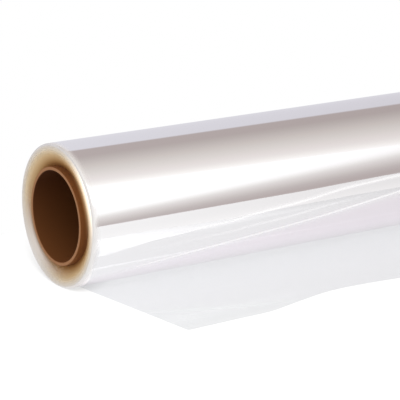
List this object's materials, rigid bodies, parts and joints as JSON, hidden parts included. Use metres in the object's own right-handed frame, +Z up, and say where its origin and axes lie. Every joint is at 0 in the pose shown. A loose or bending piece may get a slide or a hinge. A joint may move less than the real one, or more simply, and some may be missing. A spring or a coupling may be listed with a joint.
{
  "type": "roll of cellophane",
  "caption": "Roll of clear glossy wrapping film wound on a paperboard core, lying on its side with its hand-cut tail laid out flat in front.",
  "frame": {"origin": "on the core's axis, half way along the roll", "axes": "+X along the roll's axis, the free tail lies towards -Y, +Z is up"},
  "size_m": [0.502, 0.2129, 0.12],
  "materials": {
    "core_board": "brown spiral-wound paperboard, matt, a little darker inside the bore",
    "clear_film": "clear, very glossy, silvery where many turns lie on each other"
  },
  "bodies": {
    "root": {"core": "core_board", "film": "clear_film"}
  },
  "joints": []
}
